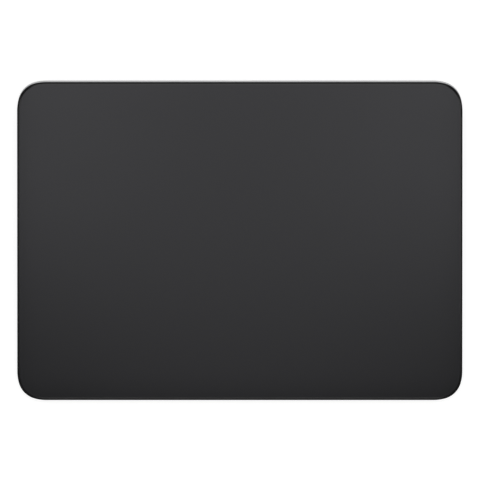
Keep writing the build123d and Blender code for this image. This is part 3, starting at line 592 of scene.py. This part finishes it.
finger_pitch = 0.00020944
gauge_foil, tree, shader, place = new_finish("gauge_foil", 0.45)
fingers = tree.nodes.new("ShaderNodeTexWave")
fingers.inputs["Scale"].default_value = band_scale(finger_pitch)
fingers.inputs["Distortion"].default_value = 0.4
tree.links.new(place, fingers.inputs["Vector"])
tree.links.new(
    blend_colours(tree, fingers.outputs["Fac"], (0.42, 0.20, 0.05), (0.55, 0.42, 0.22)),
    shader.inputs["Base Color"],
)
dress(gauge_foil, "strain_gauges")
gel = grained(
    "silicone_gel", (0.55, 0.58, 0.60), (0.62, 0.64, 0.66), 0.0006, (0.30, 0.42), relief=0.00002,
)
gel_half = (0.0032, 0.0037)
gel_round = 0.00015
gel_bulge = 0.00003
gel_turns = 64
gel_squareness = 0.25
gel_sides = ((-1.0, gel_round), (-0.6, gel_bulge), (0.0, 0.0), (0.6, gel_bulge), (1.0, gel_round))
gel_profile = [
    (stiffener_under + gel_thickness * (share - 1) / 2, set_in) for share, set_in in gel_sides
]


def pad_ring(x, v, half_x, half_v, level):
    """A soft-cornered square ring in the glass's plane."""
    ring = []
    for turn in range(gel_turns):
        angle = 2 * math.pi * turn / gel_turns
        across = math.copysign(abs(math.cos(angle)) ** gel_squareness, math.cos(angle))
        along = math.copysign(abs(math.sin(angle)) ** gel_squareness, math.sin(angle))
        ring.append(deck_place @ Vector((x + half_x * across, v + half_v * along, level)))
    return ring


gel_stacks = [
    [pad_ring(x, v, gel_half[0] - set_in, gel_half[1] - set_in, level) for level, set_in in gel_profile]
    for x in (-beam_x, beam_x) for v in (-beam_v, beam_v)
]
gel_mesh = skinned_mesh("silicone_gel_pads", gel_stacks)
gel_pads = add_piece("silicone_gel_pads", gel_mesh, [gel], "suspension", "gel_pads")
keep_edges_crisp(gel_pads)
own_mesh(gel_pads)
screw_steel = grained(
    "black_screw_steel", (0.10, 0.10, 0.105), (0.16, 0.16, 0.165), 0.0001, (0.28, 0.40), metal=1.0,
    relief=0.000003,
)
dress(screw_steel, "beam_screws", "board_screws", "haptic_screws")


# Circuit boards. Green solder mask over etched copper tracks on glass-fibre board: the main board, the
# little switch board and the touch board, each with its fine grid of tracks and plated holes.
hole_gilt = (0.75, 0.55, 0.24, 1.0)
mask_relief = 0.00001


def printed_board(name, dark, light, pitch):
    """Green mask with paler tracks on a square pitch and small gilt holes."""
    material, tree, shader, place = new_finish(name, 0.35)
    tracks = tree.nodes.new("ShaderNodeTexVoronoi")
    tracks.distance = "MANHATTAN"
    tracks.feature = "F2"
    tracks.inputs["Scale"].default_value = 1 / (3 * pitch)
    tree.links.new(place, tracks.inputs["Vector"])
    holes = tree.nodes.new("ShaderNodeTexVoronoi")
    holes.inputs["Scale"].default_value = 1 / (4 * pitch)
    tree.links.new(place, holes.inputs["Vector"])
    mask = blend_colours(tree, tracks.outputs["Distance"], dark, light, start=0.55, end=0.6)
    mix = tree.nodes.new("ShaderNodeMix")
    mix.data_type = "RGBA"
    hole = spread(tree, holes.outputs["Distance"], 1.0, 0.0, start=0.08, end=0.1)
    tree.links.new(hole, mix.inputs["Factor"])
    tree.links.new(mask, mix.inputs["A"])
    mix.inputs["B"].default_value = hole_gilt
    tree.links.new(mix.outputs["Result"], shader.inputs["Base Color"])
    raise_surface(tree, shader, tracks.outputs["Distance"], mask_relief)
    return material


main_mask = printed_board("main_board_mask", (0.008, 0.060, 0.030), (0.016, 0.100, 0.050), 0.0003)
dress(main_mask, "logic_board", "switch_board")
touch_mask = printed_board("touch_board_mask", (0.006, 0.035, 0.022), (0.012, 0.065, 0.040), 0.0011)
dress(touch_mask, "touch_sensor_board")


# Board parts. Tinned steel cans, black epoxy chips, ceramic capacitors and the small moulded cable
# sockets, all soldered to the boards by machine.
tinned = grained(
    "tinned_can", (0.55, 0.55, 0.54), (0.63, 0.63, 0.62), 0.0004, (0.24, 0.34), metal=1.0,
    relief=0.000004, stretch=(6.0, 1.0, 1.0),
)
dress(tinned, "processor_shield", "radio_module", "touch_controller")
epoxy = grained(
    "chip_epoxy", (0.012, 0.012, 0.013), (0.022, 0.022, 0.023), 0.00006, (0.42, 0.55), relief=0.000004,
)
dress(epoxy, "processor_chips", "charger_chip")
ceramic = grained(
    "capacitor_ceramic", (0.30, 0.19, 0.11), (0.38, 0.25, 0.15), 0.0002, (0.40, 0.52), relief=0.000003,
)
dress(ceramic, "board_capacitors")
socket_plastic = grained(
    "socket_plastic", (0.50, 0.46, 0.38), (0.56, 0.52, 0.43), 0.0002, (0.40, 0.50), relief=0.000004,
)
dress(socket_plastic, "board_connectors")


# Charging port. A drawn and plated steel shell with a black moulded tongue, which carries twelve gilt
# contacts on each side. It is soldered to the main board and looks out through the rear wall.
port_steel = grained(
    "port_steel", (0.44, 0.44, 0.445), (0.50, 0.50, 0.505), 0.0003, (0.20, 0.28), metal=1.0,
    relief=0.000002, stretch=(1.0, 8.0, 1.0),
)
shell_low, shell_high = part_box("port_shell")
shell_size = shell_high - shell_low
shell_middle = middle_of("port_shell")
shell_mouth = shell_high.y
shell_wall = 0.0003
shell_lip = 0.00012
small_ring_steps = 24


def shell_ring(set_in, y):
    """The shell's slot-shaped outline at a depth, drawn in by a distance."""
    return pill_ring(
        shell_size.x - 2 * set_in, shell_size.z - 2 * set_in, shell_middle.x, y, shell_middle.z,
        small_ring_steps,
    )


outer_rings = [shell_ring(0.0, shell_low.y)]
inner_rings = [shell_ring(shell_wall, shell_low.y - shell_wall)]
for angle in quarter_turn:
    lip_set_in = shell_lip * (1 - math.cos(angle))
    lip_y = shell_mouth - shell_lip * (1 - math.sin(angle))
    outer_rings.append(shell_ring(lip_set_in, lip_y))
    inner_rings.append(shell_ring(shell_wall - lip_set_in, lip_y))
inner_rings.append(shell_ring(shell_wall - shell_lip, shell_mouth + shell_lip))
port_shell = add_piece(
    "drawn_port_shell", skinned_mesh("drawn_port_shell", [outer_rings]), [port_steel], "housing",
    "port_shell",
)
machine(port_shell, [inner_rings])
keep_edges_crisp(port_shell)
tongue_plastic = grained(
    "tongue_plastic", (0.010, 0.010, 0.011), (0.016, 0.016, 0.017), 0.0001, (0.38, 0.48), relief=0.000003,
)
dress(tongue_plastic, "port_tongue")
gilt = grained(
    "gilt_contact", (0.80, 0.55, 0.20), (0.88, 0.63, 0.26), 0.0002, (0.18, 0.28), metal=1.0,
)
dress(gilt, "port_contacts")


# Power switch. A small silver slider in a slot-shaped surround, with grip grooves across it. Slid to the
# user's right it is on, and a green field shows beside it. Its case and board sit behind the rear wall.
slider_silver = grained(
    "slider_silver", (0.46, 0.462, 0.468), (0.51, 0.512, 0.518), 0.00012, (0.30, 0.40), metal=1.0,
    relief=0.000003,
)
knob_low, knob_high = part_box("switch_knob")
knob_size = knob_high - knob_low
knob_middle = middle_of("switch_knob")
knob_face = knob_high.y
knob_thickness = 0.00045
knob_back = knob_face - knob_thickness
knob_back_break = 0.00004
knob_round = 0.00014
stem_size = (0.0018, 0.0008)
grip_sides = 24
grip_radius = 0.0002
grip_rise = 0.00009
grip_half = 0.0006
grip_pitch = 0.0008
knob_profile = [(knob_back, knob_back_break), (knob_back + knob_back_break, 0.0)]
for angle in quarter_turn:
    knob_profile.append(
        (knob_face - knob_round * (1 - math.sin(angle)), knob_round * (1 - math.cos(angle)))
    )
knob_rings = [
    pill_ring(
        knob_size.x - 2 * set_in, knob_size.z - 2 * set_in, knob_middle.x, y, knob_middle.z,
        small_ring_steps,
    )
    for y, set_in in knob_profile
]
stem_rings = [
    pill_ring(*stem_size, knob_middle.x, y, knob_middle.z)
    for y in (knob_low.y, knob_face - knob_thickness / 2)
]
grip_tools = [
    upright_stack(
        grip_sides, grip_radius, knob_middle.z - grip_half, knob_middle.z + grip_half,
        knob_middle.x + step * grip_pitch, knob_face + grip_rise,
    )
    for step in (-1, 0, 1)
]
knob = add_piece(
    "slider_knob", skinned_mesh("slider_knob", [knob_rings]), [slider_silver], "switch", "switch_knob",
)
machine(knob, [stem_rings], "UNION")
machine(knob, grip_tools)
keep_edges_crisp(knob)
surround_black = grained(
    "surround_black", (0.016, 0.016, 0.017), (0.024, 0.024, 0.025), 0.00015, (0.45, 0.58),
    relief=0.000006,
)
dress(surround_black, "switch_surround", "switch_case", "switch_wiper")
on_green = grained(
    "on_field_green", (0.030, 0.330, 0.090), (0.040, 0.380, 0.110), 0.0003, (0.40, 0.50),
)
dress(on_green, "switch_on_mark")


# Battery. Two flat pouch cells in silver laminate lie on stretch-release tape, with foam guards and thin
# flat leads that run back to the main board.
wrinkle_size = 0.004
wrinkle_depth = 0.00008
scuff_size = 0.0005
pouch, tree, shader, place = new_finish("pouch_laminate", 0.35, metal=0.9)
wrinkle = grain(tree, place, wrinkle_size, detail=2.0, stretch=(2.0, 1.0, 1.0))
tree.links.new(
    blend_colours(tree, wrinkle, (0.42, 0.43, 0.44), (0.48, 0.49, 0.50)), shader.inputs["Base Color"]
)
tree.links.new(spread(tree, grain(tree, place, scuff_size), 0.30, 0.42), shader.inputs["Roughness"])
raise_surface(tree, shader, wrinkle, wrinkle_depth)
dress(pouch, "battery_cell_left", "battery_cell_right")
tape = grained(
    "white_tape", (0.70, 0.70, 0.68), (0.76, 0.76, 0.74), 0.0005, (0.50, 0.65), relief=0.00001,
)
dress(tape, "battery_adhesive")
foam = grained(
    "guard_foam", (0.018, 0.018, 0.018), (0.035, 0.035, 0.035), 0.0003, (0.80, 0.92), relief=0.00006,
)
dress(foam, "battery_guards")


film_haze = 0.001


def flat_cable(name, film, copper, pitch):
    """Film over parallel copper tracks along the cable."""
    material, tree, shader, place = new_finish(name, 0.35)
    tracks = tree.nodes.new("ShaderNodeTexWave")
    tracks.inputs["Scale"].default_value = band_scale(pitch)
    tree.links.new(place, tracks.inputs["Vector"])
    striped = blend_colours(tree, tracks.outputs["Fac"], film, copper, start=0.45, end=0.55)
    tree.links.new(striped, shader.inputs["Base Color"])
    tree.links.new(spread(tree, grain(tree, place, film_haze), 0.30, 0.40), shader.inputs["Roughness"])
    return material


amber_film = flat_cable("amber_film_cable", (0.30, 0.12, 0.02), (0.45, 0.22, 0.06), 0.0015708)
dress(amber_film, "haptic_cable", "switch_cable")
black_film = flat_cable("black_film_cable", (0.012, 0.012, 0.012), (0.030, 0.022, 0.016), 0.0025133)
dress(black_film, "battery_cables")


# Touch cable. The same amber film, looped up from the main board to the touch board, so that it gives
# when the pad is pressed. The piece is a welded, smooth-shaded copy of the CAD cable.
weld_distance = 0.000001
loop = bmesh.new()
loop.from_mesh(nodes["touch_cable"].data)
bmesh.ops.remove_doubles(loop, verts=loop.verts, dist=weld_distance)
loop_mesh = bpy.data.meshes.new("touch_loop")
loop.to_mesh(loop_mesh)
loop.free()
loop_mesh.materials.append(amber_film)
touch_loop = bpy.data.objects.new("touch_loop", loop_mesh)
bpy.context.scene.collection.objects.link(touch_loop)
keep_edges_crisp(touch_loop)
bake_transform(touch_loop)
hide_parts("touch_cable")


# Haptic engine. Copper coils on laminated steel cores pull a steel angle under the pad sideways, so that
# the pad gives a click. The cores stand in a pressed steel bracket.
sheet_pitch = 0.00062832
sheet_relief = 0.00001
wire_pitch = 0.00037699
wire_relief = 0.00003
laminated, tree, shader, place = new_finish("laminated_steel", 0.4, metal=1.0)
sheets = tree.nodes.new("ShaderNodeTexWave")
sheets.bands_direction = "Z"
sheets.inputs["Scale"].default_value = band_scale(sheet_pitch)
tree.links.new(place, sheets.inputs["Vector"])
tree.links.new(
    blend_colours(tree, sheets.outputs["Fac"], (0.16, 0.16, 0.17), (0.34, 0.34, 0.35)),
    shader.inputs["Base Color"],
)
raise_surface(tree, shader, sheets.outputs["Fac"], sheet_relief)
dress(laminated, "haptic_cores")
wound, tree, shader, place = new_finish("wound_copper", 0.28, metal=1.0)
turns = tree.nodes.new("ShaderNodeTexWave")
turns.inputs["Scale"].default_value = band_scale(wire_pitch)
tree.links.new(place, turns.inputs["Vector"])
tree.links.new(
    blend_colours(tree, turns.outputs["Fac"], (0.26, 0.08, 0.03), (0.68, 0.30, 0.14)),
    shader.inputs["Base Color"],
)
raise_surface(tree, shader, turns.outputs["Fac"], wire_relief)
dress(wound, "haptic_coils")
pressed_steel = grained(
    "pressed_steel", (0.46, 0.46, 0.46), (0.54, 0.54, 0.54), 0.0002, (0.28, 0.38), metal=1.0,
    relief=0.000003, stretch=(10.0, 1.0, 1.0),
)
dress(pressed_steel, "haptic_bracket", "haptic_armature", "stiffener_plate")


# Antenna. A moulded carrier with a gilt strip on it sits under the glass's rear edge, where no metal
# covers it, and a thin screened lead joins it to the radio.
carrier = grained(
    "antenna_carrier_plastic", (0.018, 0.018, 0.019), (0.028, 0.028, 0.030), 0.00015, (0.45, 0.58),
    relief=0.000005,
)
dress(carrier, "antenna_carrier")
dress(gilt, "antenna_element")
lead_jacket = grained(
    "lead_jacket", (0.13, 0.13, 0.135), (0.17, 0.17, 0.175), 0.0002, (0.42, 0.55), relief=0.000004,
)
dress(lead_jacket, "antenna_lead")


# Bond film. A clear sheet of adhesive that holds the glass to the touch board without a bubble. It is
# cut to the board's outline and rolled on before the two are pressed together.
clear_film = grained("clear_bond_film", (0.62, 0.66, 0.66), (0.66, 0.70, 0.70), 0.003, (0.10, 0.16))
dress(clear_film, "bond_film")


# Cover glass. One sheet of float glass, backed in black and etched to a silky matt. Its face falls away
# by a hair near the edge, meets a narrow polished chamfer and ends in a rounded, ground black side. It
# is bonded to the touch board, and stops a hair short of the housing's rear edge.
rear_reveal = 0.00012
glass_shift_v = -rear_reveal / 2
chamfer_inset = 0.0009
chamfer_slope = 0.2
ground_width = 0.0005
ground_depth = 0.00025
ground_steps = 12
crease_width = 0.00004
fall_width = 0.012
fall_depth = 0.00013
fall_steps = 10


def glass_fall(inset):
    """How far the face lies below its flat middle, at a distance in from the edge."""
    return fall_depth * max(1 - inset / fall_width, 0.0) ** 3


def glass_edge(inset):
    """How far the chamfer and the rounded side drop below the face, at a distance in from the edge."""
    reach = max(1 - inset / ground_width, 0.0)
    rounded = ground_depth * (1 - math.sqrt(1 - reach ** 2))
    return rounded + chamfer_slope * max(chamfer_inset - inset, 0.0)


etch_size = 0.00005
etch_relief = 0.0000004
haze_size = 0.018
etched, tree, shader, place = new_finish("etched_black_glass", 0.31)
etch_marks = grain(tree, place, etch_size, detail=2.0)
tree.links.new(
    blend_colours(tree, etch_marks, (0.0016, 0.0016, 0.0018), (0.0024, 0.0024, 0.0027)),
    shader.inputs["Base Color"],
)
haze = grain(tree, place, haze_size, detail=1.0)
tree.links.new(spread(tree, haze, 0.298, 0.306), shader.inputs["Roughness"])
shader.inputs["Specular Tint"].default_value = (0.95, 0.95, 1.0, 1.0)
raise_surface(tree, shader, etch_marks, etch_relief)
polished_edge = grained(
    "polished_glass_edge", (0.0016, 0.0016, 0.0018), (0.0022, 0.0022, 0.0024), 0.0004, (0.17, 0.19),
)
ground_side = grained(
    "ground_glass_side", (0.0075, 0.0075, 0.0078), (0.0095, 0.0095, 0.0098), 0.0001, (0.6, 0.7), gloss=0.0,
    relief=0.000002,
)

insets = turn_heights(ground_width, ground_steps)
insets += [ground_width + crease_width, chamfer_inset - crease_width, chamfer_inset]
fall_start = chamfer_inset + crease_width
insets += [fall_start + (fall_width - fall_start) * step / fall_steps for step in range(fall_steps + 1)]
levels = [(0.0, -glass_thickness)]
levels += [(inset, -glass_edge(inset) - glass_fall(inset)) for inset in insets]
outline_half_v = glass_half_v + glass_shift_v
built = bmesh.new()
rings = []
for inset, level in levels:
    drawn_in = min(inset, tight_radius / 2)
    across = 1 - (inset - drawn_in) / housing_half_x
    along = 1 - (inset - drawn_in) / glass_half_v
    outline = eased_outline(housing_half_x - drawn_in, outline_half_v - drawn_in, drawn_in)
    rings.append([
        built.verts.new(deck_place @ Vector((x * across, v * along + glass_shift_v, level)))
        for x, v in outline
    ])
etched_index = 0
polished_index = 1
ground_index = 2
for lower, upper, inset in zip(rings, rings[1:], insets):
    for index in range(len(lower)):
        following = (index + 1) % len(lower)
        face = built.faces.new((lower[index], lower[following], upper[following], upper[index]))
        face.smooth = True
        face.material_index = polished_index if inset < fall_start else etched_index
        if inset < ground_width + crease_width / 2:
            face.material_index = ground_index
built.faces.new(rings[0][::-1])
built.faces.new(rings[-1]).smooth = True
mesh = bpy.data.meshes.new("cover_glass")
built.to_mesh(mesh)
built.free()
add_piece(
    "cover_glass", mesh, [etched, polished_edge, ground_side], "platen", "glass_surface"
)


# Table and light. A plain white table in a pale room, under soft overhead lamps: one over the middle,
# one to each side, a wide one to the rear, and narrow strips in front and far out at both sides.
table_reach = 6.0
table_shift = -1.0
table_tint = 0.4
speckle_tint = 0.405
speckle_size = 0.01
table_glow = 0.7
horizon_glow = 1.0
ceiling_glow = 0.1
room_fill = 0.8

table_mesh = bpy.data.meshes.new("table_top")
table_corners = [
    (x * table_reach, y * table_reach + table_shift, 0.0) for x, y in ((-1, -1), (1, -1), (1, 1), (-1, 1))
]
table_mesh.from_pydata(table_corners, [], [(0, 1, 2, 3)])
table = bpy.data.objects.new("table_top", table_mesh)
bpy.context.scene.collection.objects.link(table)


def seen_directly(tree):
    """One for camera, glossy and transmission rays, none for the rest."""
    path = tree.nodes.new("ShaderNodeLightPath")
    value = path.outputs["Is Camera Ray"]
    for kind in ("Is Glossy Ray", "Is Transmission Ray"):
        either = tree.nodes.new("ShaderNodeMath")
        either.operation = "MAXIMUM"
        tree.links.new(value, either.inputs[0])
        tree.links.new(path.outputs[kind], either.inputs[1])
        value = either.outputs["Value"]
    return value


white_table, tree, shader, place = new_finish("white_table", 0.8, gloss=0.1)
speckle = grain(tree, place, speckle_size)
tree.links.new(
    blend_colours(tree, speckle, (table_tint,) * 3, (speckle_tint,) * 3), shader.inputs["Base Color"]
)
shader.inputs["Emission Color"].default_value = (1.0, 1.0, 1.0, 1.0)
table_light = spread(tree, seen_directly(tree), 0.0, table_glow, start=0.0, end=1.0)
tree.links.new(table_light, shader.inputs["Emission Strength"])
table_mesh.materials.append(white_table)

room = bpy.data.worlds.new("pale_room")
bpy.context.scene.world = room
room.use_nodes = True
tree = room.node_tree
background = tree.nodes["Background"]
background.inputs["Color"].default_value = (1.0, 1.0, 1.0, 1.0)
direction = tree.nodes.new("ShaderNodeTexCoord")
split = tree.nodes.new("ShaderNodeSeparateXYZ")
tree.links.new(direction.outputs["Generated"], split.inputs["Vector"])
glow = tree.nodes.new("ShaderNodeMix")
glow.inputs["A"].default_value = room_fill
sky = spread(tree, split.outputs["Z"], horizon_glow, ceiling_glow, start=0.35, end=0.92)
tree.links.new(sky, glow.inputs["B"])
tree.links.new(seen_directly(tree), glow.inputs["Factor"])
tree.links.new(glow.outputs["Result"], background.inputs["Strength"])


lamp_height = 0.4


def softbox(name, place, size, radiance):
    """A flat rectangular lamp of even brightness that faces straight down."""
    lamp = bpy.data.lights.new(name, "AREA")
    lamp.shape = "RECTANGLE"
    lamp.size = size[0]
    lamp.size_y = size[1]
    lamp.energy = radiance * math.pi * size[0] * size[1]
    box = bpy.data.objects.new(name, lamp)
    box.location = (*place, lamp_height)
    box.visible_camera = False
    bpy.context.scene.collection.objects.link(box)


softbox("middle_softbox", place=(0.0, -0.017), size=(0.12, 0.18), radiance=0.95)
softbox("left_softbox", place=(-0.09, 0.015), size=(0.06, 0.14), radiance=2.25)
softbox("right_softbox", place=(0.09, 0.015), size=(0.06, 0.14), radiance=2.25)
softbox("rear_softbox", place=(0.0, 0.24), size=(0.30, 0.34), radiance=1.22)
softbox("front_strip", place=(0.0, -0.27), size=(0.22, 0.05), radiance=2.3)
softbox("left_strip", place=(-0.245, 0.0), size=(0.05, 0.16), radiance=1.5)
softbox("right_strip", place=(0.245, 0.0), size=(0.05, 0.16), radiance=2.4)

bpy.context.scene.view_settings.view_transform = "Standard"
